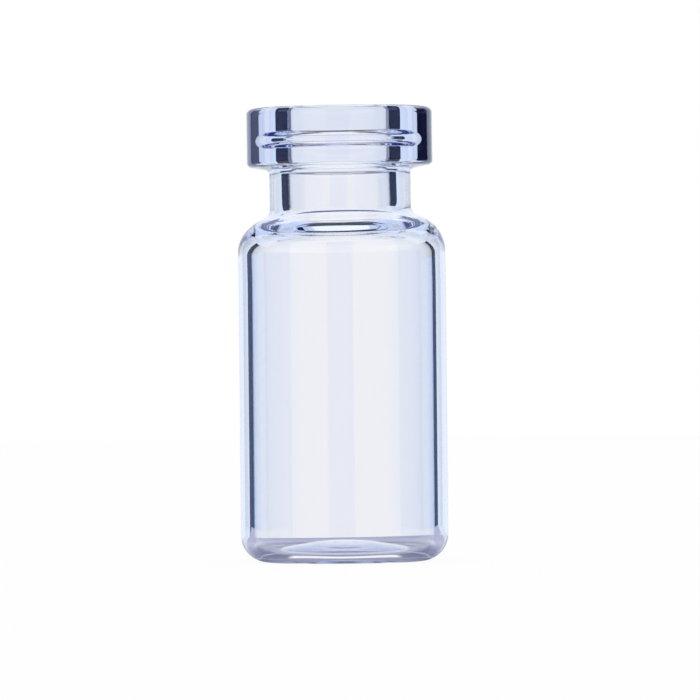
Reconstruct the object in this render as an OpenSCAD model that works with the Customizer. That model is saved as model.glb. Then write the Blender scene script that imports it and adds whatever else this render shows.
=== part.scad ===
// Glass sample vial: clear tubing glass with a crimp neck, blown and tooled in one piece.
// Millimetres, +Z up. The vial stands on z = 0 and its axis is the Z axis.

/* [Body] */
// Outside diameter of the glass tube
body_d = 14.7; // [13.6:0.1:20]
// Height from the bench to the top of the flange
height = 32.1; // [24:0.1:60]
// Thickness of the wall
wall = 0.96; // [0.6:0.02:1.2]

/* [Shoulder] */
// Distance from the top of the flange down to the corner between the shoulder and the body
neck_drop = 8.7; // [8.2:0.05:12]
// Slope of the shoulder, in degrees from level
shoulder_slope = 27.8; // [15:0.1:40]
// Radius of the shoulder's outer curve
shoulder_r = 2.55; // [1.5:0.05:2.6]
// Radius of the hollow curve where the neck meets the shoulder
neck_foot_r = 0.74; // [0.4:0.02:1.2]
// Slope of the shoulder inside the body, in degrees from level
inner_slope = 21; // [10:1:30]
// How far the shoulder's inner corner lies below its outer one
inner_drop = 0.69; // [0.4:0.01:1]
// Radius of the shoulder's inner curve
inner_shoulder_r = 1.38; // [0.8:0.02:2]
// Radius of the throat, where the bore opens into the body
throat_r = 2.4; // [0.6:0.1:2.8]

/* [Neck] */
// Outside diameter of the neck
neck_d = 10; // [9:0.1:11]
// Diameter of the bore
bore_d = 7.2; // [6:0.1:7.6]
// Rounding of the bore's upper edge
mouth_r = 0.3; // [0.1:0.05:0.5]

/* [Flange] */
// Diameter of the crimp flange
flange_d = 13.15; // [12.4:0.05:13.5]
// Height of the flange at its rim
flange_h = 4.1; // [3.4:0.1:4.6]
// Slope of the flange's underside, in degrees from level
flange_slope = 10; // [2:1:15]
// Rounding of the rim's upper edge
rim_top_r = 0.45; // [0.2:0.05:0.8]
// Rounding of the rim's lower edge
rim_low_r = 0.4; // [0.2:0.05:0.8]
// Radius of the hollow curve between the flange's underside and the neck
underside_r = 0.35; // [0.1:0.05:0.8]

/* [Blow-back groove] */
// Depth of the groove's arc, before its two ends are straightened
groove_depth = 0.26; // [0.12:0.02:0.34]
// Height of the groove
groove_h = 1.1; // [1:0.05:1.6]
// Distance from the top of the flange down to the middle of the groove
groove_drop = 2.27; // [1.8:0.01:2.6]
// Rounding of the groove's two lips
groove_lip_r = 0.16; // [0.02:0.01:0.18]

/* [Base] */
// Radius of the heel, where the wall turns under
heel_r = 1.93; // [1.2:0.01:2.2]
// Radius of the same turn inside
inner_heel_r = 1.25; // [0.6:0.05:1.5]
// Width of the flat ring that the vial stands on
foot_w = 0.5; // [0.2:0.1:0.8]
// Rise of the pushed-up underside at its middle
push_up = 0.5; // [0.2:0.1:1]
// Diameter of the level middle of the underside
push_flat_d = 3.4; // [2:0.2:4]
// Height of the floor's lowest ring above the bench
floor_z = 0.68; // [0.6:0.02:1.2]
// Rise of the floor at its middle, above its lowest ring
floor_rise = 0.7; // [0.3:0.1:1]
// Width of the level ring round the floor's raised dome
gutter_w = 0.42; // [0.2:0.02:1.5]
// Diameter of the dome's level top
dome_flat_d = 3; // [1:0.2:4]

/* [Hidden] */

body_r = body_d / 2;
cavity_r = body_r - wall;
neck_r = neck_d / 2;
bore_r = bore_d / 2;
flange_r = flange_d / 2;
foot_r = body_r - heel_r - foot_w;
dome_r = cavity_r - inner_heel_r - gutter_w;
push_flat_r = push_flat_d / 2;
dome_flat_r = dome_flat_d / 2;

shoulder_z = height - neck_drop;
neck_foot_z = shoulder_z + (body_r - neck_r) * tan(shoulder_slope);
flange_z = height - flange_h;
neck_top_z = flange_z - (flange_r - neck_r) * tan(flange_slope);
ceiling_z = shoulder_z - inner_drop;
throat_z = ceiling_z + (cavity_r - bore_r) * tan(inner_slope);

// The groove is an arc; its two ends run straight for a little way, which leaves room for the lips
// and takes the groove a little deeper. This share of the arc's radius is kept.
groove_z = height - groove_drop;
groove_arc_r = (pow(groove_h / 2, 2) + pow(groove_depth, 2)) / (2 * groove_depth);
groove_slope = asin(groove_h / 2 / groove_arc_r);
groove_corner = groove_h / 2 * tan(groove_slope);
groove_share = 0.78;

// The underside and the dome bend gently: each bend takes this share of the level part beside it
bend_share = 0.5;
push_angle = atan(push_up / (foot_r - push_flat_r));
dome_angle = atan(floor_rise / (dome_r - dome_flat_r));

sharp = 0;
overlap = 0.05;
$fn = 180;

module vial() {
  color([0.86, 0.9, 0.97, 0.4]) rotate_extrude() rounded_outline(concat(outside(), inside()));
}

// Half of the section, as corners [radius, height, rounding]
function outside() = [
  [0, push_up, sharp],
  [push_flat_r, push_up, bend_r(push_flat_r, push_angle)],
  [foot_r, 0, bend_r(foot_w, push_angle)],
  [body_r, 0, heel_r],
  [body_r, shoulder_z, shoulder_r],
  [neck_r, neck_foot_z, neck_foot_r],
  [neck_r, neck_top_z, underside_r],
  [flange_r, flange_z, rim_low_r],
  [flange_r, height, rim_top_r],
];

function inside() = [
  [bore_r, height, mouth_r],
  [bore_r, groove_z + groove_h / 2, groove_lip_r],
  [bore_r + groove_corner, groove_z, groove_arc_r * groove_share],
  [bore_r, groove_z - groove_h / 2, groove_lip_r],
  [bore_r, throat_z, throat_r],
  [cavity_r, ceiling_z, inner_shoulder_r],
  [cavity_r, floor_z, inner_heel_r],
  [dome_r, floor_z, bend_r(gutter_w, dome_angle)],
  [dome_flat_r, floor_z + floor_rise, bend_r(dome_flat_r, dome_angle)],
  [0, floor_z + floor_rise, sharp],
];

function bend_r(level_part, angle) = bend_share * level_part / tan(angle / 2);

// The outline with straight chords across its corners, and the round part of each corner added or cut
module rounded_outline(points) {
  n = len(points);
  difference() {
    union() {
      polygon([for (i = [0 : n - 1]) for (p = chord(points, i)) p]);
      for (i = [0 : n - 1]) if (turn(points, i) > 0) corner_round(points, i);
    }
    for (i = [0 : n - 1]) if (turn(points, i) < 0) corner_round(points, i);
  }
}

module corner_round(points, i) {
  radius = points[i][2];
  ends = chord(points, i);
  centre = xy(points[i]) + middle(points, i) * radius / sin(half_angle(points, i));
  inner = (ends[0] + ends[1]) / 2 + middle(points, i) * overlap * radius;
  intersection() {
    polygon([ends[0], xy(points[i]), ends[1], inner]);
    translate(centre) circle(radius);
  }
}

function unit(v) = v / norm(v);
function xy(p) = [p[0], p[1]];
function from_corner(points, i, k) = unit(xy(points[k % len(points)]) - xy(points[i]));
function back(points, i) = from_corner(points, i, i + len(points) - 1);
function ahead(points, i) = from_corner(points, i, i + 1);
function turn(points, i) = cross(ahead(points, i), back(points, i)) * sign(points[i][2]);
function half_angle(points, i) = acos(back(points, i) * ahead(points, i)) / 2;
function middle(points, i) = unit(back(points, i) + ahead(points, i));
function chord_run(points, i) = points[i][2] / tan(half_angle(points, i));
function chord(points, i) = points[i][2] == sharp ? [xy(points[i])] : [
  xy(points[i]) + back(points, i) * chord_run(points, i),
  xy(points[i]) + ahead(points, i) * chord_run(points, i),
];

vial();
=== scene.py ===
# %% [markdown]
# # A glass sample vial
#
# This lesson builds one clear glass vial, about as tall as the end of a thumb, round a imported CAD
# model. The CAD model is the frame: it says how big the vial is and where it stands. Everything is
# made in metres, with +Z up and the vial standing on z = 0.

# %% The frame
import math

import bmesh
import bpy
import numpy as np
from mathutils import Matrix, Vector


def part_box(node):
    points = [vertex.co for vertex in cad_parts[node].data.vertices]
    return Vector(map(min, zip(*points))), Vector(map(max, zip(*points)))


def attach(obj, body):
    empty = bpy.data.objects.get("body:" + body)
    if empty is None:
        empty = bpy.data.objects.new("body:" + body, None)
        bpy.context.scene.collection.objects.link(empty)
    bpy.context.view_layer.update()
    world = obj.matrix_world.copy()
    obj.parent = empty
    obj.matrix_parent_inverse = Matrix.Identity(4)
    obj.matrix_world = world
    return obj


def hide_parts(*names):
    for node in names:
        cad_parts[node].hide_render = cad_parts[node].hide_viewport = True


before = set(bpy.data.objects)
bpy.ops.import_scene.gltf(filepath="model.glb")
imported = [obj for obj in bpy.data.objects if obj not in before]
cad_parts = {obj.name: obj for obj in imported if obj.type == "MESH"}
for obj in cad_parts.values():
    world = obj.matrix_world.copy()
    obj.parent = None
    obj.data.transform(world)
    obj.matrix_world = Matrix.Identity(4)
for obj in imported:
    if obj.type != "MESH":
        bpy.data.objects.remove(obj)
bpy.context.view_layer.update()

# %% [markdown]
# Glass shapes are easiest to think about in millimetres, so the sizes below are written that way and
# are turned to metres only when a mesh or an object is made. The height and the width come from the
# frame, so that the vial can't come out larger than its CAD model.

# %% Millimetres, and the two sizes from the frame
MM = 0.001

vial_low, vial_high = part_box("vial")
BODY_R = (vial_high.x - vial_low.x) / 2 / MM
HEIGHT = vial_high.z / MM
print("body radius", round(BODY_R, 3), "mm, height", round(HEIGHT, 3), "mm")

# %% [markdown]
# ## The section of the glass
#
# The vial is one piece of tubing glass. A machine turns the hot tube against rollers, which fold its
# mouth into a thick crimp flange, pinch the neck and slope the shoulder, and a burner closes the base.
# Because the tube turns while it is shaped, the whole vial is a solid of revolution.
#
# It could be carved out of cylinders, but every hollow and every lip is a soft curve in the real
# thing, and clear glass shows each of them twice. So half of its section is drawn as a list of
# corners, each with its own rounding, and the list is then turned round the axis.

# %% The outside, from the middle of the base up to the rim
NECK_R = 5.0
FLANGE_R = 6.575
FOOT_R = 4.92
PUSH_UP = 0.5
PUSH_FLAT_R = 1.7
NECK_DROP = 8.7
FLANGE_H = 4.1
SHOULDER_Z = HEIGHT - NECK_DROP
FLANGE_Z = HEIGHT - FLANGE_H
SHOULDER_SLOPE = math.radians(27.8)
UNDERSIDE_SLOPE = math.radians(10)
NECK_FOOT_Z = SHOULDER_Z + (BODY_R - NECK_R) * math.tan(SHOULDER_SLOPE)
NECK_TOP_Z = FLANGE_Z - (FLANGE_R - NECK_R) * math.tan(UNDERSIDE_SLOPE)

# Each corner is its radius, its height and the radius of its rounding.
outside = [
    (0, PUSH_UP, 0),
    (PUSH_FLAT_R, PUSH_UP, 11.0),
    (FOOT_R, 0, 3.24),
    (BODY_R, 0, 1.93),
    (BODY_R, SHOULDER_Z, 2.55),
    (NECK_R, NECK_FOOT_Z, 0.74),
    (NECK_R, NECK_TOP_Z, 0.35),
    (FLANGE_R, FLANGE_Z, 0.4),
    (FLANGE_R, HEIGHT, 0.45),
]
print("outside:", len(outside), "corners")

# %% [markdown]
# Inside, the bore has a shallow groove, which a roller pressed into the hot glass and where a stopper
# locks. Below it the throat opens into the body in a wide bell. The middle of that slope sags by a
# fiftieth of a millimetre, as hot glass does. The groove is an arc whose two ends run straight for a
# little way, to leave room for its lips.

# %% The groove and the slope under the throat
BORE_R = 3.6
WALL = 0.96
CAVITY_R = BODY_R - WALL
GROOVE_DROP = 2.27
GROOVE_Z = HEIGHT - GROOVE_DROP
GROOVE_HALF = 0.55
GROOVE_DEPTH = 0.26
GROOVE_LIP = 0.16
GROOVE_ROUND_SHARE = 0.78
INNER_DROP = 0.69
CEILING_Z = SHOULDER_Z - INNER_DROP
INNER_SLOPE = math.radians(21)
THROAT_Z = CEILING_Z + (CAVITY_R - BORE_R) * math.tan(INNER_SLOPE)
SAG_SHARE = 0.567
SAG = 0.02
SAG_R = BORE_R + (CAVITY_R - BORE_R) * SAG_SHARE
SAG_Z = THROAT_Z + (CEILING_Z - THROAT_Z) * SAG_SHARE - SAG

groove_arc_r = (GROOVE_HALF ** 2 + GROOVE_DEPTH ** 2) / (2 * GROOVE_DEPTH)
groove_corner = GROOVE_HALF * math.tan(math.asin(GROOVE_HALF / groove_arc_r))
print("groove arc:", round(groove_arc_r, 3), "mm, throat at", round(THROAT_Z, 2), "mm")

# %% [markdown]
# The floor is pushed up in the middle, as the outside of the base is, so that the vial stands on a
# ring and doesn't rock. Its dome is raised a little more than the underside, and a narrow gutter runs
# round it.

# %% The inside, from the mouth down to the middle of the floor
FLOOR_Z = 0.68
DOME_R = 4.72
DOME_FLAT_R = 1.5
DOME_Z = 1.38

inside = [
    (BORE_R, HEIGHT, 0.3),
    (BORE_R, GROOVE_Z + GROOVE_HALF, GROOVE_LIP),
    (BORE_R + groove_corner, GROOVE_Z, groove_arc_r * GROOVE_ROUND_SHARE),
    (BORE_R, GROOVE_Z - GROOVE_HALF, GROOVE_LIP),
    (BORE_R, THROAT_Z, 2.4),
    (SAG_R, SAG_Z, 4.3),
    (CAVITY_R, CEILING_Z, 1.38),
    (CAVITY_R, FLOOR_Z, 1.25),
    (DOME_R, FLOOR_Z, 1.955),
    (DOME_FLAT_R, DOME_Z, 6.98),
    (0, DOME_Z, 0),
]
print("inside:", len(inside), "corners")

# %% [markdown]
# Each corner becomes an arc that touches both of its straight sides. The arc's middle lies on the line
# that halves the corner, and its two ends lie where the sides touch it. Glass shows every flat facet
# as a streak, so a point is set at least every 5 degrees of turn and every 0.3 mm of arc.

# %% Rounding the corners
ARC_TURN = math.radians(5)
ARC_STEP = 0.3


def rounded(corners):
    """The outline as a list of [radius, height] points, with each corner turned into an arc."""
    points = [np.array(corners[0][:2], float)]
    for before, corner, after in zip(corners, corners[1:], corners[2:]):
        here = np.array(corner[:2], float)
        rounding = corner[2]
        back = np.array(before[:2], float) - here
        ahead = np.array(after[:2], float) - here
        back /= np.linalg.norm(back)
        ahead /= np.linalg.norm(ahead)
        half = math.acos(np.clip(back @ ahead, -1, 1)) / 2
        middle = (back + ahead) / np.linalg.norm(back + ahead)
        centre = here + middle * rounding / math.sin(half)
        first = here + back * rounding / math.tan(half) - centre
        last = here + ahead * rounding / math.tan(half) - centre
        start = math.atan2(first[1], first[0])
        turn = (math.atan2(last[1], last[0]) - start + math.pi) % (2 * math.pi) - math.pi
        steps = max(2, math.ceil(abs(turn) / ARC_TURN), math.ceil(abs(turn) * rounding / ARC_STEP))
        for k in range(steps + 1):
            angle = start + turn * k / steps
            points.append(centre + rounding * np.array([math.cos(angle), math.sin(angle)]))
    points.append(np.array(corners[-1][:2], float))
    return points


rounded_outline = rounded(outside + inside)
print("rounded outline:", len(rounded_outline), "points")

# %% [markdown]
# Long straight runs get points too, because the neck leans a little later on, and a straight run can
# only bend where it has a point. Points that fall on each other are left out.

# %% Points along the straight runs
LONGEST_RUN = 2.0
SAME_PLACE = 1e-6


def with_even_runs(points):
    """The same outline as an array, with no straight run longer than LONGEST_RUN."""
    even = [points[0]]
    for start, end in zip(points, points[1:]):
        length = np.linalg.norm(end - start)
        if length < SAME_PLACE:
            continue
        steps = math.ceil(length / LONGEST_RUN)
        even += [start + (end - start) * k / steps for k in range(1, steps + 1)]
    return np.array(even)


profile = with_even_runs(rounded_outline)
print("profile:", len(profile), "points")

# %% [markdown]
# ## What the hand of the machine leaves
#
# No blown vial is quite true. On this one the neck stands a tenth of a millimetre off the axis and its
# rings are not quite level. Its bore seems to stand a twentieth of a millimetre to one side, so that the
# glass of the neck is thicker on the other. Clear glass bends light at every surface, so these small
# faults are easy to see as dark lines that are wider on one side. They are made in the mesh, not
# painted, so they hold from every side. Each is a list of heights and a list of what happens there.

# %% Lean, tilt and uneven wall
NECK_SHIFT = ([20, 25, HEIGHT], [0, -0.085, -0.12])
RING_TILT = ([20, 23.8, 25.5, 28, HEIGHT], [0, 0.021, 0.012, 0.009, 0.0055])
BORE_SHIFT = ([0, 24, 27, HEIGHT], [0, 0, -0.05, -0.05])


def as_blown(radius, height, angle, is_inner):
    """A point of the true shape, in millimetres, moved to where the real glass has it."""
    x = radius * np.cos(angle)
    y = radius * np.sin(angle)
    z = height + np.interp(height, *RING_TILT) * x
    share_of_bore = np.minimum(1, radius / BORE_R)
    x = x + np.interp(height, *NECK_SHIFT)
    x = x + is_inner * share_of_bore * np.interp(height, *BORE_SHIFT)
    return np.stack([x, y, z + 0 * y], axis=-1)


print("neck shift at the rim:", NECK_SHIFT[1][-1], "mm, bore shift:", BORE_SHIFT[1][-1], "mm")

# %% [markdown]
# ## Turning the section round the axis
#
# A Screw modifier could do this, but the rings are moved one by one here, so the mesh is written
# directly. First each ring of the outline is laid out as a row of points. The bore's shift goes to the
# inner surface only, which begins where the rim turns in.

# %% The rings
SEGMENTS = 256
RIM_MIDDLE_R = (FLANGE_R + BORE_R) / 2
RIM_BAND = 0.6


def lathe_points(outline):
    """The points of every ring, then the middle of the underside and the middle of the floor."""
    top = int(np.argmax(outline[:, 1]))
    on_rim = (outline[:, 1] > HEIGHT - RIM_BAND) & (outline[:, 0] > RIM_MIDDLE_R)
    is_inner = (np.arange(len(outline)) > top) & ~on_rim
    angles = np.arange(SEGMENTS) * 2 * math.pi / SEGMENTS
    rings = outline[1:-1]
    grid = as_blown(rings[:, :1], rings[:, 1:], angles[None, :], is_inner[1:-1, None])
    under = as_blown(np.zeros(1), outline[:1, 1], np.zeros(1), np.zeros(1))
    floor_top = as_blown(np.zeros(1), outline[-1:, 1], np.zeros(1), np.zeros(1))
    return np.concatenate([grid.reshape(-1, 3), under, floor_top])


vial_points = lathe_points(profile)
print("rings:", len(profile) - 2, "of", SEGMENTS, "points")

# %% [markdown]
# Neighbouring rings are joined with four-sided faces. Where the outline meets the axis, the last ring
# closes to a single point with a fan of triangles.

# %% The faces


def lathe_faces(ring_count):
    """The faces between the rings, and a fan at each end, all facing outwards."""
    last = (ring_count - 1) * SEGMENTS
    under = ring_count * SEGMENTS
    faces = []
    for k in range(SEGMENTS):
        n = (k + 1) % SEGMENTS
        faces.append((under, n, k))
        for a in range(0, last, SEGMENTS):
            b = a + SEGMENTS
            faces.append((a + k, a + n, b + n, b + k))
        faces.append((last + k, last + n, under + 1))
    return faces


vial_mesh = bpy.data.meshes.new("vial_glass")
vial_mesh.from_pydata((vial_points * MM).tolist(), [], lathe_faces(len(profile) - 2))
vial_mesh.update()
vial_mesh.shade_smooth()
vial = bpy.data.objects.new("vial_glass", vial_mesh)
bpy.context.scene.collection.objects.link(vial)
print("vial:", len(vial_mesh.vertices), "points,", len(vial_mesh.polygons), "faces")

# %% [markdown]
# Light goes wrong in a glass mesh that leaks, so it is worth a check that every edge has two faces.

# %% Is it closed, and how much glass is it?
check = bmesh.new()
check.from_mesh(vial_mesh)
open_edges = [edge for edge in check.edges if not edge.is_manifold]
print("open edges:", len(open_edges), "- glass:", round(check.calc_volume() / MM ** 3, 1), "mm3")
check.free()

# %% [markdown]
# ## Colours and nodes
#
# Colours are written as sRGB hex values, as a paint or design program shows them. Blender's shaders
# work in linear light, so one function turns the first into the second. One more function adds a node,
# and every material below is a few calls of it.

# %% Hex colours, and one function that adds a node
WHITE = "#FFFFFF"


def linear(hex_colour):
    """An sRGB hex colour such as "#EEF1F8" as linear RGBA, by the curve of the sRGB standard."""
    channels = [int(hex_colour[i:i + 2], 16) / 255 for i in (1, 3, 5)]
    light = [c / 12.92 if c <= 0.04045 else ((c + 0.055) / 1.055) ** 2.4 for c in channels]
    return (*light, 1.0)


def add_node(tree, kind, inputs=None, **settings):
    """Adds a node, sets its properties, and fills or links its inputs."""
    node = tree.nodes.new(kind)
    for key, value in settings.items():
        setattr(node, key, value)
    for key, value in (inputs or {}).items():
        if isinstance(value, bpy.types.NodeSocket):
            tree.links.new(value, node.inputs[key])
        else:
            node.inputs[key].default_value = value
    return node


def new_material(name):
    """An empty material and its node tree."""
    material = bpy.data.materials.new(name)
    material.use_nodes = True
    material.node_tree.nodes.clear()
    return material, material.node_tree


print("mid grey in linear light:", [round(c, 3) for c in linear("#808080")[:3]])

# %% [markdown]
# ## The glass
#
# Vials like this are mostly made of clear borosilicate tubing, drawn hot from the melt and fire polished
# by the burners, so the surface is as smooth as a liquid's and has no grain. A drawn tube does keep
# faint lines along its length, which make a reflection waver a little. Here they are 2 mm apart and far
# less than a hundredth of a millimetre deep, so they are a bump that is stretched along Z.

# %% The faint lines of a drawn tube
DRAW_LINE_SPACING = 2.0 * MM
DRAW_LINE_STRETCH = 25
DRAW_LINE_HEIGHT = 0.0004 * MM

glass, tree = new_material("clear_tubing_glass")
where = add_node(tree, "ShaderNodeTexCoord")
across = 1 / DRAW_LINE_SPACING
stretched = add_node(tree, "ShaderNodeMapping", {
    "Vector": where.outputs["Object"],
    "Scale": (across, across, across / DRAW_LINE_STRETCH),
})
draw_lines = add_node(tree, "ShaderNodeTexNoise", {
    "Vector": stretched.outputs["Vector"],
    "Scale": 1.0,
    "Detail": 1.0,
    "Roughness": 0.4,
})
ripple = add_node(tree, "ShaderNodeBump", {
    "Height": draw_lines.outputs["Fac"],
    "Distance": DRAW_LINE_HEIGHT,
    "Strength": 1.0,
})
print("draw lines every", DRAW_LINE_SPACING / MM, "mm")

# %% [markdown]
# What the eye sees is refraction: dark lines where the wall is seen edge on, and a faint lavender blue
# that deepens with the thickness of glass that the light has crossed. That tint is made by absorption
# inside the solid, so thick parts such as the flange and the heel are bluer than the wall. A painted
# colour would tint all of them alike. Such glass has an IOR of 1.47 to 1.49 and hardly any tint of its
# own, so this tint is stronger than real, to match the cool look of the object.

# %% Clear tubing glass, drawn and fire polished
GLASS_IOR = 1.49
TINT_COLOUR = "#4597F3"
TINT_PER_METRE = 32

surface = add_node(tree, "ShaderNodeBsdfPrincipled", {
    "Base Color": linear(WHITE),
    "Roughness": 0.0,
    "IOR": GLASS_IOR,
    "Transmission Weight": 1.0,
    "Normal": ripple.outputs["Normal"],
})
tint = add_node(tree, "ShaderNodeVolumeAbsorption", {
    "Color": linear(TINT_COLOUR),
    "Density": TINT_PER_METRE,
})
add_node(tree, "ShaderNodeOutputMaterial", {
    "Surface": surface.outputs["BSDF"],
    "Volume": tint.outputs["Volume"],
})
vial_mesh.materials.append(glass)

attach(vial, "root")
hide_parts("vial")
print("glass: IOR", GLASS_IOR, "tint", TINT_PER_METRE, "per metre")

# %% [markdown]
# ## The stage
#
# Clear glass shows nothing but its surroundings, so the stage matters more than the lamps do. The vial
# stands on a floor of plain matt paper. The paper is a shade off white and takes a soft shadow. To the
# eye most of it gives a plain white of its own, so it looks the same all over without any more light
# on the vial.

# %% Paper that is white to the eye and keeps a soft shadow
PAPER = "#F4F4F6"
PAPER_WHITE_SHARE = 0.95


def seen_share(tree):
    """1 for a ray that comes from the camera, from a reflection or through glass, and 0 for the rest."""
    path = add_node(tree, "ShaderNodeLightPath")
    first = add_node(tree, "ShaderNodeMath", {
        0: path.outputs["Is Camera Ray"],
        1: path.outputs["Is Glossy Ray"],
    }, operation="ADD")
    total = add_node(tree, "ShaderNodeMath", {
        0: first.outputs["Value"],
        1: path.outputs["Is Transmission Ray"],
    }, operation="ADD", use_clamp=True)
    return total.outputs["Value"]


floor_paper, tree = new_material("white_studio_paper")
paper = add_node(tree, "ShaderNodeBsdfDiffuse", {"Color": linear(PAPER)})
white = add_node(tree, "ShaderNodeEmission", {"Color": linear(WHITE), "Strength": 1.0})
share = add_node(tree, "ShaderNodeMath", {
    0: seen_share(tree),
    1: PAPER_WHITE_SHARE,
}, operation="MULTIPLY")
mixed = add_node(tree, "ShaderNodeMixShader", {
    0: share.outputs["Value"],
    1: paper.outputs["BSDF"],
    2: white.outputs["Emission"],
})
add_node(tree, "ShaderNodeOutputMaterial", {"Surface": mixed.outputs["Shader"]})
print("paper:", PAPER, "under a white share of", PAPER_WHITE_SHARE)

# %% [markdown]
# The floor is one large round sheet of that paper. Reflections and rays through the glass pass it by
# and see the room instead, so the paper's edge never shows in the vial.

# %% The floor
FLOOR_RADIUS = 0.6
FLOOR_SIDES = 96

floor_mesh = bpy.data.meshes.new("floor")
floor_bm = bmesh.new()
bmesh.ops.create_circle(floor_bm, cap_ends=True, segments=FLOOR_SIDES, radius=FLOOR_RADIUS)
floor_bm.to_mesh(floor_mesh)
floor_bm.free()
floor_mesh.materials.append(floor_paper)
floor = bpy.data.objects.new("floor", floor_mesh)
bpy.context.scene.collection.objects.link(floor)
floor.visible_glossy = False
floor.visible_transmission = False
print("floor:", 2 * FLOOR_RADIUS, "m across")

# %% [markdown]
# ## Cards round the vial
#
# Glass is lit from behind with a wide white field, and dark cards stand to the left and the right of
# it, outside the view. The glass bends their darkness into its own edges, and that is what draws its
# outline. A card is a strip that is bent round the vial, and only the glass shows it: the camera,
# the floor and the shadows leave it out. Its arc is two angles in degrees from straight behind the
# vial, positive to the right.

# %% A card that stands round the vial
CARD_STEPS = 24


def only_in_the_glass(piece):
    """Hides a stage piece from the camera, from matt surfaces and from shadows."""
    piece.visible_camera = False
    piece.visible_diffuse = False
    piece.visible_shadow = False


def standing_card(name, material, arc, distance, heights):
    """A card that stands on edge, bent round the vial, between two angles and two heights."""
    vertices = []
    for k in range(CARD_STEPS + 1):
        angle = math.radians(arc[0] + (arc[1] - arc[0]) * k / CARD_STEPS)
        x = math.sin(angle) * distance
        y = math.cos(angle) * distance
        vertices += [(x, y, heights[0]), (x, y, heights[1])]
    faces = [(2 * k, 2 * k + 2, 2 * k + 3, 2 * k + 1) for k in range(CARD_STEPS)]
    mesh = bpy.data.meshes.new(name)
    mesh.from_pydata(vertices, [], faces)
    mesh.materials.append(material)
    card = bpy.data.objects.new(name, mesh)
    bpy.context.scene.collection.objects.link(card)
    only_in_the_glass(card)
    print(name, "from", arc[0], "to", arc[1], "degrees at", round(distance / MM, 1), "mm")


# %% [markdown]
# A real card has one colour for all light. Here light that comes straight through the glass and light
# that it reflects may get different tones, which is a trick of the stage: a real studio would need more
# cards for it. Light Path counts the reflections. The count is a whole number, so a limit halfway
# between two counts tells them apart. A Mix node has a pair of inputs for each kind of value, and the
# numbers below are the places of those for colour.

# %% Two tones for one card
MIX_FACTOR = 0
MIX_A = 6
MIX_B = 7
MIX_COLOUR = 2
ONCE = 0.5
TWICE = 1.5


def tone_by_reflections(tree, fewer, more, limit):
    """One colour for light that was reflected fewer times than the limit, and another for the rest."""
    path = add_node(tree, "ShaderNodeLightPath")
    over = add_node(tree, "ShaderNodeMath", {
        0: path.outputs["Glossy Depth"],
        1: limit,
    }, operation="GREATER_THAN")
    tone = add_node(tree, "ShaderNodeMix", {
        MIX_FACTOR: over.outputs["Value"],
        MIX_A: fewer,
        MIX_B: more,
    }, data_type="RGBA")
    return tone.outputs[MIX_COLOUR]


print("limits between reflections:", ONCE, TWICE)

# %% [markdown]
# The two main cards are matt black paperboard, printed all over. The left one is black to all light.
# The right one is a dark grey to light that comes straight through the glass, as if it caught a little
# light, and black in reflections. They start at about 40 degrees, where light through the thick of the
# wall is bent to, and reach a little below the floor, so that the heel sees no gap under them.

# %% Two black cards


def black_card_material(name, straight, mirrored):
    """A card with one colour for light that comes straight from it and one for its reflections."""
    material, tree = new_material(name)
    tone = tone_by_reflections(tree, linear(straight), linear(mirrored), ONCE)
    card = add_node(tree, "ShaderNodeEmission", {"Color": tone, "Strength": 1.0})
    add_node(tree, "ShaderNodeOutputMaterial", {"Surface": card.outputs["Emission"]})
    return material


BLACK = "#120D1F"
DEEP_BLACK = "#030312"
DARK_GREY = "#616576"
LEFT_ARC = (-40.6, -76)
RIGHT_ARC = (43.8, 76)
CARD_DISTANCE = 75 * MM
CARD_HEIGHTS = (-5 * MM, 60 * MM)

left_card = black_card_material("black_card", BLACK, BLACK)
right_card = black_card_material("black_card_lit_from_behind", DARK_GREY, DEEP_BLACK)
standing_card("black_card_left", left_card, LEFT_ARC, CARD_DISTANCE, CARD_HEIGHTS)
standing_card("black_card_right", right_card, RIGHT_ARC, CARD_DISTANCE, CARD_HEIGHTS)

# %% [markdown]
# Glass also mirrors what stands beside it and behind the viewer, and that is where its blue glints come
# from. The next cards are seen in reflections only, so they never hide the white field from light that
# comes straight through. Two masks say which light may see them.

# %% Masks for the cards that only reflections show


def reflected_share(tree):
    """1 for light that was reflected on its way, and 0 for the rest."""
    path = add_node(tree, "ShaderNodeLightPath")
    reflected = add_node(tree, "ShaderNodeMath", {
        0: path.outputs["Glossy Depth"],
        1: ONCE,
    }, operation="GREATER_THAN")
    return reflected.outputs["Value"]


def kept_to_the_outside(tree, share):
    """The same share, but 0 for light that has passed into the glass."""
    path = add_node(tree, "ShaderNodeLightPath")
    outside_glass = add_node(tree, "ShaderNodeMath", {
        0: path.outputs["Transmission Depth"],
        1: ONCE,
    }, operation="LESS_THAN")
    both = add_node(tree, "ShaderNodeMath", {
        0: share,
        1: outside_glass.outputs["Value"],
    }, operation="MULTIPLY")
    return both.outputs["Value"]


print("a reflected ray has a Glossy Depth of more than", ONCE)

# %% [markdown]
# A card that stands on edge is met squarely by level light and at a slant by light that comes from well
# above or below. Layer Weight's Facing is 1 less the cosine of that angle, so it is 0 for a square hit.

# %% A second tone for steep light
# From 7.3 to 8.5 degrees off square
STEEP_STARTS = 0.008
STEEP_ENDS = 0.011


def darker_when_steep(tree, tone, steep):
    """The tone, changed to a second colour for light that meets the card from well above or below."""
    weight = add_node(tree, "ShaderNodeLayerWeight", {"Blend": 0.5})
    is_steep = add_node(tree, "ShaderNodeMapRange", {
        "Value": weight.outputs["Facing"],
        "From Min": STEEP_STARTS,
        "From Max": STEEP_ENDS,
    })
    mixed = add_node(tree, "ShaderNodeMix", {
        MIX_FACTOR: is_steep.outputs["Result"],
        MIX_A: tone,
        MIX_B: steep,
    }, data_type="RGBA")
    return mixed.outputs[MIX_COLOUR]


print("a card is steep at", round(math.degrees(math.acos(1 - STEEP_ENDS)), 1), "degrees")

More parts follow.
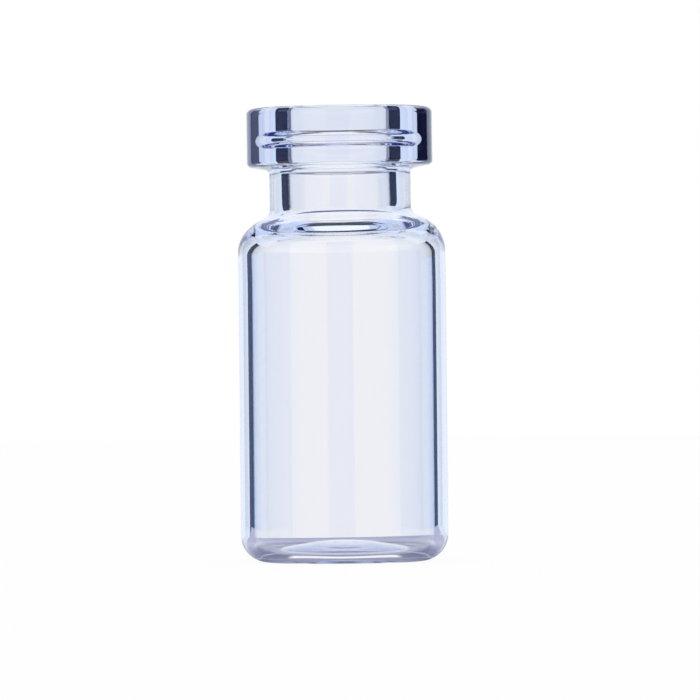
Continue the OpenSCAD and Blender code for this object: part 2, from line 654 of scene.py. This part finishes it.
# %% [markdown]
# Each of these cards has one colour for a first reflection and one for light that was reflected again,
# which has come a longer way through the glass. A Mix Shader shows the card's own light where the share
# is 1, and lets every other ray pass through.

# %% A card that only reflections show


def mirror_card_material(name, first, later, strength=1.0, steep=None, outside_only=False):
    """A card with a colour for first reflections and one for later ones, and clear to all other light."""
    material, tree = new_material(name)
    tone = tone_by_reflections(tree, linear(first), linear(later), TWICE)
    if steep:
        tone = darker_when_steep(tree, tone, linear(steep))
    share = reflected_share(tree)
    if outside_only:
        share = kept_to_the_outside(tree, share)
    card = add_node(tree, "ShaderNodeEmission", {"Color": tone, "Strength": strength})
    clear = add_node(tree, "ShaderNodeBsdfTransparent")
    shown = add_node(tree, "ShaderNodeMixShader", {
        0: share,
        1: clear.outputs["BSDF"],
        2: card.outputs["Emission"],
    })
    add_node(tree, "ShaderNodeOutputMaterial", {"Surface": shown.outputs["Shader"]})
    return material


print("reflection cards are clear to all other light")

# %% [markdown]
# Two low cards of pale blue paper stand just inside the black ones. They light the reflections in the
# body's wall, which would otherwise be black, and they end below the neck, so the flange and the neck
# keep their dark bands. The curved shoulder sees them at a steep angle, and there they are dark.

# %% Two low blue cards at the sides
PALE_BLUE = "#507CC8"
PALE = "#E2E7F6"
NIGHT = "#303345"
LOW_LEFT_ARC = (-52, -76)
LOW_RIGHT_ARC = (52, 76)
LOW_CARD_DISTANCE = 74.5 * MM
LOW_CARD_HEIGHTS = (-5 * MM, 24.5 * MM)

side_card = mirror_card_material("pale_blue_card", PALE_BLUE, PALE, steep=NIGHT)
standing_card("blue_card_left", side_card, LOW_LEFT_ARC, LOW_CARD_DISTANCE, LOW_CARD_HEIGHTS)
standing_card("blue_card_right", side_card, LOW_RIGHT_ARC, LOW_CARD_DISTANCE, LOW_CARD_HEIGHTS)

# %% [markdown]
# A wide card of strong blue paper stands in front. Only the outermost surface of the glass mirrors it,
# as a cold sheen along the rim. Dimmer card stands behind it for the reflections that come from deeper
# inside, in two strips, because the neck and the flange mirror something darker than the body does.

# %% Blue and dim cards in front
STRONG_BLUE = "#3069E7"
DIM_BLUE = "#455081"
GREY_LAVENDER = "#7C7E9E"
DUSK = "#45475D"
FRONT_ARC = (70, 290)
BLUE_CARD_DISTANCE = 305 * MM
BLUE_CARD_HEIGHTS = (-12 * MM, 62 * MM)
DIM_CARD_DISTANCE = 310 * MM
LOW_STRIP = (-80 * MM, 31 * MM)
HIGH_STRIP = (32 * MM, 62 * MM)

blue_card = mirror_card_material("blue_card", STRONG_BLUE, STRONG_BLUE, outside_only=True)
dim_card = mirror_card_material("dim_blue_card", DIM_BLUE, GREY_LAVENDER)
high_card = mirror_card_material("dim_blue_card_high", DIM_BLUE, DUSK)
standing_card("blue_card_in_front", blue_card, FRONT_ARC, BLUE_CARD_DISTANCE, BLUE_CARD_HEIGHTS)
standing_card("dim_card_in_front", dim_card, FRONT_ARC, DIM_CARD_DISTANCE, LOW_STRIP)
standing_card("dim_card_above_it", high_card, FRONT_ARC, DIM_CARD_DISTANCE, HIGH_STRIP)

# %% [markdown]
# ## The sheet under the vial
#
# A sheet lies under the vial, and the heel and the base show it. It is no real material: it glows with
# painted light and shade. Its lavender is a painted shadow of the vial close to it, and at a low angle a
# painted reflection of the dark cards.
# The base of a glass bends light into bright and dark rings on what it stands on. A path tracer finds
# such light slowly and with much noise, so the rings are not computed here. They are drawn on the sheet
# as tones by their distance from the axis in millimetres, and their radii and tones are matched by
# measure to how such a base looks.

# %% Painted shadow and painted light in rings
# Painted shade and light by radius: the dark middle is the vial's painted shadow, the dark band from 6.5 mm
# is a painted contact shadow round the heel, and the pale rings are painted light that the base focuses.
painted_rings = [
    (0.0, "#8184AC"),
    (2.8, "#8184AC"),
    (3.6, "#CED4EA"),
    (4.5, "#C4C8E2"),
    (4.8, "#9597B3"),
    (5.20, "#9093AD"),
    (5.74, "#7C7E9B"),
    (6.25, "#6F7390"),
    (6.35, "#CBCEE1"),
    (6.50, "#767995"),
    (7.40, "#8186A4"),
    (10.0, "#ADAFCB"),
    (16.0, "#B5B6D1"),
]
RINGS_OUT_TO = painted_rings[-1][0]


def fill_ramp(node, stops):
    """Gives a colour ramp its stops, each a place from 0 to 1 and a hex colour."""
    elements = node.color_ramp.elements
    while len(elements) < len(stops):
        elements.new(1.0)
    for element, (place, colour) in zip(elements, stops):
        element.position = place
        element.color = linear(colour)


# A sheet of painted light and shade, which only the glass shows.
painted_sheet_material, tree = new_material("painted_light_and_shade_sheet")
where = add_node(tree, "ShaderNodeTexCoord")
radius = add_node(tree, "ShaderNodeVectorMath", {0: where.outputs["Object"]}, operation="LENGTH")
outwards = add_node(tree, "ShaderNodeMath", {
    0: radius.outputs["Value"],
    1: RINGS_OUT_TO * MM,
}, operation="DIVIDE")
rings = add_node(tree, "ShaderNodeValToRGB", {"Fac": outwards.outputs["Value"]})
fill_ramp(rings, [(ring_radius / RINGS_OUT_TO, colour) for ring_radius, colour in painted_rings])
print("sheet:", len(painted_rings), "rings out to", RINGS_OUT_TO, "mm")

# %% [markdown]
# The base shows one bright line in front. It comes from two narrow white bows of painted light on the
# sheet, one in front of the axis and one behind it: the brightest of the light that the base focuses.
# Each is nearly a piece of a ring, but its radius grows to the sides, so it needs a mask of its own: a
# point is in a bow if it is close to the bow's radius and not too far to the side. These are
# millimetres too, and they are matched in the same way.

# %% Two narrow bows of painted light
BOW_MIDDLE_R = 5.36
BOW_SIDE_R = 5.75
BOW_SIDE_X = 5.0
BOW_HALF_WIDTH = 0.18
BOW_HALF_LENGTH = 3.9
WIDTH_BLUR = 0.3
LENGTH_BLUR = 0.06

place = add_node(tree, "ShaderNodeSeparateXYZ", {"Vector": where.outputs["Object"]})
sideways = add_node(tree, "ShaderNodeMath", {0: place.outputs["X"]}, operation="ABSOLUTE")
bow_r = add_node(tree, "ShaderNodeMapRange", {
    "Value": sideways.outputs["Value"],
    "From Max": BOW_SIDE_X * MM,
    "To Min": BOW_MIDDLE_R * MM,
    "To Max": BOW_SIDE_R * MM,
}, interpolation_type="SMOOTHSTEP")
from_bow = add_node(tree, "ShaderNodeMath", {
    0: radius.outputs["Value"],
    1: bow_r.outputs["Result"],
}, operation="SUBTRACT")
off_bow = add_node(tree, "ShaderNodeMath", {0: from_bow.outputs["Value"]}, operation="ABSOLUTE")
in_width = add_node(tree, "ShaderNodeMapRange", {
    "Value": off_bow.outputs["Value"],
    "From Min": BOW_HALF_WIDTH * (1 + WIDTH_BLUR) * MM,
    "From Max": BOW_HALF_WIDTH * (1 - WIDTH_BLUR) * MM,
})
in_length = add_node(tree, "ShaderNodeMapRange", {
    "Value": sideways.outputs["Value"],
    "From Min": BOW_HALF_LENGTH * (1 + LENGTH_BLUR) * MM,
    "From Max": BOW_HALF_LENGTH * (1 - LENGTH_BLUR) * MM,
})
in_bow = add_node(tree, "ShaderNodeMath", {
    0: in_width.outputs["Result"],
    1: in_length.outputs["Result"],
}, operation="MULTIPLY")
with_bows = add_node(tree, "ShaderNodeMix", {
    MIX_FACTOR: in_bow.outputs["Value"],
    MIX_A: rings.outputs["Color"],
    MIX_B: linear(WHITE),
}, data_type="RGBA")
print("bows:", 2 * BOW_HALF_WIDTH, "mm wide and", 2 * BOW_HALF_LENGTH, "mm long")

# %% [markdown]
# The sheet has its lavender at a low angle only, as a painted reflection of the dark cards there.
# From above it is as white as the floor, except close to the vial, where the lavender is painted shade.
# Layer Weight's Facing is 0 for a ray that meets the sheet squarely and 1 for one that grazes it.

# %% White from above
GRAZING = 0.83
FROM_ABOVE = 0.745
NEAR_THE_VIAL = 7.5
FAR_FROM_IT = 12

weight = add_node(tree, "ShaderNodeLayerWeight", {"Blend": 0.5})
from_above = add_node(tree, "ShaderNodeMapRange", {
    "Value": weight.outputs["Facing"],
    "From Min": GRAZING,
    "From Max": FROM_ABOVE,
}, interpolation_type="SMOOTHSTEP")
away = add_node(tree, "ShaderNodeMapRange", {
    "Value": radius.outputs["Value"],
    "From Min": NEAR_THE_VIAL * MM,
    "From Max": FAR_FROM_IT * MM,
}, interpolation_type="SMOOTHSTEP")
pale = add_node(tree, "ShaderNodeMath", {
    0: from_above.outputs["Result"],
    1: away.outputs["Result"],
}, operation="MULTIPLY")
sheet_colour = add_node(tree, "ShaderNodeMix", {
    MIX_FACTOR: pale.outputs["Value"],
    MIX_A: with_bows.outputs[MIX_COLOUR],
    MIX_B: linear(WHITE),
}, data_type="RGBA")
# The sheet glows with its painted light and shade, so no lamp lights it.
shown = add_node(tree, "ShaderNodeEmission", {"Color": sheet_colour.outputs[MIX_COLOUR], "Strength": 1.0})
add_node(tree, "ShaderNodeOutputMaterial", {"Surface": shown.outputs["Emission"]})
print("the sheet is white from above beyond", FAR_FROM_IT, "mm")

# %% [markdown]
# The sheet's far edge shows through the heel as the line where lavender ends and white begins. It comes
# nearest on the left, so it is cut as a shallow V with its point there. The sheet lies a hundredth of a
# millimetre below the foot ring, so that the two surfaces don't fight.

# %% Laying the sheet down
SHEET_OUTLINE = [(-50, -20), (50, -20), (50, 50), (15, 33.5), (-15, 18.5), (-50, 50)]
SHEET_DROP = 0.01 * MM

sheet_corners = [(x * MM, y * MM, -SHEET_DROP) for x, y in SHEET_OUTLINE]
sheet_mesh = bpy.data.meshes.new("painted_light_sheet")
sheet_mesh.from_pydata(sheet_corners, [], [tuple(range(len(sheet_corners)))])
sheet_mesh.materials.append(painted_sheet_material)
sheet = bpy.data.objects.new("painted_light_sheet", sheet_mesh)
bpy.context.scene.collection.objects.link(sheet)
only_in_the_glass(sheet)
print("sheet:", len(sheet_corners), "corners")

# %% [markdown]
# ## The room
#
# The world is a plain grey room as a source of light, and an even white one to the eye. Only light that
# has met the glass sees more of it. Through the glass, the field behind the vial is white with a breath
# of blue that grows to the sides. In its reflections, that field is narrower, and the part of the room
# behind the viewer is dusky, with a navy band, a sooty one above it and a white ceiling. A studio for
# glassware is kept dim behind the camera too, because the glass would mirror a bright one.
#
# Each list gives angles in degrees, to the right or upwards, and the colour there.

# %% The colours of the room
NAVY = "#575B73"
SOOT = "#272A3C"

straight_field = [
    (-40, "#EFF7FF"),
    (-14, "#F9FCFF"),
    (-4.2, "#F9FCFF"),
    (-3.8, "#FDFDFF"),
    (3.8, "#FDFDFF"),
    (4.2, "#F8FBFF"),
    (14, "#F5FAFF"),
    (40, "#EDF5FF"),
]
mirrored_field = [
    (-16, "#E7F1FF"),
    (-8, "#FCFDFF"),
    (8, "#FCFDFF"),
    (16, "#E7F1FF"),
]
room_heights = [
    (-14, WHITE),
    (-10, DUSK),
    (10, DUSK),
    (16, NAVY),
    (40, NAVY),
    (43, SOOT),
    (66, SOOT),
    (70, WHITE),
]
print("room:", len(straight_field), "+", len(mirrored_field), "steps across,", len(room_heights), "up")

# %% [markdown]
# A world has no surface, so its texture coordinate is the direction of the ray itself: a vector one
# long, whose X says how far it leans to the right and whose Z how far it leans up. The sine of an angle
# turns a step of a list into such a share.

# %% Colours by direction


def colour_by_direction(tree, part, steps):
    """A colour that changes with one part of a ray's direction, given as [degrees, colour] steps."""
    place = add_node(tree, "ShaderNodeMapRange", {"Value": part, "From Min": -1.0, "From Max": 1.0})
    ramp = add_node(tree, "ShaderNodeValToRGB", {"Fac": place.outputs["Result"]})
    fill_ramp(ramp, [((1 + math.sin(math.radians(angle))) / 2, colour) for angle, colour in steps])
    return ramp.outputs["Color"]


world = bpy.data.worlds.new("white_room")
bpy.context.scene.world = world
world.use_nodes = True
tree = world.node_tree
tree.nodes.clear()
where = add_node(tree, "ShaderNodeTexCoord")
direction = add_node(tree, "ShaderNodeSeparateXYZ", {"Vector": where.outputs["Generated"]})
straight_ramp = colour_by_direction(tree, direction.outputs["X"], straight_field)
mirrored_ramp = colour_by_direction(tree, direction.outputs["X"], mirrored_field)
room_ramp = colour_by_direction(tree, direction.outputs["Z"], room_heights)
print("world:", world.name)

# %% [markdown]
# The parts of the room are put together with masks made from the same direction. The bluish field stops
# a little below the horizon, where the floor is white. Y is 1 straight behind the vial and falls to
# the sides, so a limit on it parts the field behind from the room in front.

# %% Through the glass, and in its reflections
BELOW_HORIZON = -0.24
NEAR_HORIZON = -0.12
BEHIND_THE_VIAL = 0.36
TO_THE_SIDES = 0.29

path = add_node(tree, "ShaderNodeLightPath")
through = add_node(tree, "ShaderNodeMath", {
    0: path.outputs["Transmission Depth"],
    1: ONCE,
}, operation="GREATER_THAN")
above_floor = add_node(tree, "ShaderNodeMapRange", {
    "Value": direction.outputs["Z"],
    "From Min": BELOW_HORIZON,
    "From Max": NEAR_HORIZON,
}, interpolation_type="SMOOTHSTEP")
tinted = add_node(tree, "ShaderNodeMath", {
    0: through.outputs["Value"],
    1: above_floor.outputs["Result"],
}, operation="MULTIPLY")
straight_colour = add_node(tree, "ShaderNodeMix", {
    MIX_FACTOR: tinted.outputs["Value"],
    MIX_A: linear(WHITE),
    MIX_B: straight_ramp,
}, data_type="RGBA")
in_front = add_node(tree, "ShaderNodeMapRange", {
    "Value": direction.outputs["Y"],
    "From Min": BEHIND_THE_VIAL,
    "From Max": TO_THE_SIDES,
}, interpolation_type="SMOOTHSTEP")
mirrored_colour = add_node(tree, "ShaderNodeMix", {
    MIX_FACTOR: in_front.outputs["Result"],
    MIX_A: mirrored_ramp,
    MIX_B: room_ramp,
}, data_type="RGBA")
straight = straight_colour.outputs[MIX_COLOUR]
mirrored = mirrored_colour.outputs[MIX_COLOUR]
seen_colour = tone_by_reflections(tree, straight, mirrored, ONCE)
print("the dark room begins at", round(math.degrees(math.asin(BEHIND_THE_VIAL))), "degrees before the sides")

# %% [markdown]
# Light that falls on a matt surface comes from the plain grey room, a little below full strength, so
# that white paper doesn't clip.

# %% One room for the light and one for the eye
WORLD_LIGHT = 0.85

lit = add_node(tree, "ShaderNodeBackground", {"Color": linear(WHITE), "Strength": WORLD_LIGHT})
seen = add_node(tree, "ShaderNodeBackground", {"Color": seen_colour, "Strength": 1.0})
mixed = add_node(tree, "ShaderNodeMixShader", {
    0: seen_share(tree),
    1: lit.outputs["Background"],
    2: seen.outputs["Background"],
})
add_node(tree, "ShaderNodeOutputWorld", {"Surface": mixed.outputs["Shader"]})
print("world light:", WORLD_LIGHT)

# %% [markdown]
# ## Panels and a lamp
#
# Two tall panels of warm white cloth, lit from behind, stand in front on the left and the right. The
# outer surface of the glass mirrors them as the soft streaks that run down the body and tell the eye
# that it is round. They are warm because the field behind is bluish, and the two together come out
# nearly neutral.

# %% Two soft panels in front
WARM_WHITE = "#FFE6DF"
PANEL_STRENGTH = 1.47
PANEL_LEFT_ARC = (-163.4, -121)
PANEL_RIGHT_ARC = (168.4, 116)
PANEL_DISTANCE = 300 * MM
PANEL_HEIGHTS = (-80 * MM, 200 * MM)

cloth = mirror_card_material("warm_white_cloth", WARM_WHITE, WARM_WHITE, PANEL_STRENGTH, outside_only=True)
standing_card("soft_panel_left", cloth, PANEL_LEFT_ARC, PANEL_DISTANCE, PANEL_HEIGHTS)
standing_card("soft_panel_right", cloth, PANEL_RIGHT_ARC, PANEL_DISTANCE, PANEL_HEIGHTS)

# %% [markdown]
# A third panel, of translucent white acrylic, hangs high up behind the vial. The curves of the shoulder
# and the lips of the groove throw it forwards as small bright glints.

# %% A high panel behind
PALE_SKY = "#CBD3DE"
WARM_SKY = "#FFFFF7"
SKY_STRENGTH = 1.3
SKY_ARC = (-34, 34)
SKY_HEIGHTS = (190 * MM, 300 * MM)

white_acrylic = mirror_card_material("translucent_white_acrylic", PALE_SKY, WARM_SKY, SKY_STRENGTH)
standing_card("sky_panel", white_acrylic, SKY_ARC, PANEL_DISTANCE, SKY_HEIGHTS)

# %% [markdown]
# One large soft box overhead gives the floor its faint shadow. Its power is worked out from its size,
# so that the level stays the same if the box is made larger. It isn't mirrored in the glass.

# %% One large soft lamp overhead
LAMP_HEIGHT = 0.5
LAMP_SIZE = 0.5
LAMP_LEVEL = 0.3

light = bpy.data.lights.new("soft_box", "AREA")
light.shape = "SQUARE"
light.size = LAMP_SIZE
light.energy = LAMP_LEVEL * math.pi * LAMP_SIZE ** 2
lamp = bpy.data.objects.new("soft_box", light)
lamp.location = (0, 0, LAMP_HEIGHT)
lamp.visible_glossy = False
lamp.visible_transmission = False
bpy.context.scene.collection.objects.link(lamp)
print("soft box:", round(light.energy, 3), "W")

# %% [markdown]
# ## The camera
#
# A small thing is best seen from some way off through a long lens, so that its rings stay nearly flat.
# The camera is level with the middle of the vial and turned by half a degree about its own axis. The
# focal length follows from the distance and the width of the view, both in metres, and the sensor.

# %% A long lens, level with the vial
SENSOR_WIDTH = 36
CAMERA_DISTANCE = 0.430
VIEW_WIDTH = 0.04957
CAMERA_X = 0.00050
CAMERA_Z = 0.01495
CAMERA_ROLL = math.radians(-0.55)
NEAREST = 0.01

camera_data = bpy.data.cameras.new("camera")
camera_data.sensor_width = SENSOR_WIDTH
camera_data.lens = SENSOR_WIDTH * CAMERA_DISTANCE / VIEW_WIDTH
camera_data.clip_start = NEAREST
camera = bpy.data.objects.new("camera", camera_data)
bpy.context.scene.collection.objects.link(camera)
level = Matrix.Rotation(math.radians(90), 4, "X") @ Matrix.Rotation(CAMERA_ROLL, 4, "Z")
camera.matrix_world = Matrix.Translation((CAMERA_X, -CAMERA_DISTANCE, CAMERA_Z)) @ level
bpy.context.scene.camera = camera
print("lens", round(camera_data.lens, 1), "mm")

# %% [markdown]
# Light may cross the glass and bounce inside it many times before it leaves, most of all in the
# shoulder and the flange. With too few bounces those rays end black.

# %% Bounces and colour
BOUNCES = 28
bpy.context.scene.cycles.max_bounces = BOUNCES
bpy.context.scene.cycles.glossy_bounces = BOUNCES
bpy.context.scene.cycles.transmission_bounces = BOUNCES
bpy.context.scene.view_settings.view_transform = "Standard"
print("bounces:", BOUNCES)
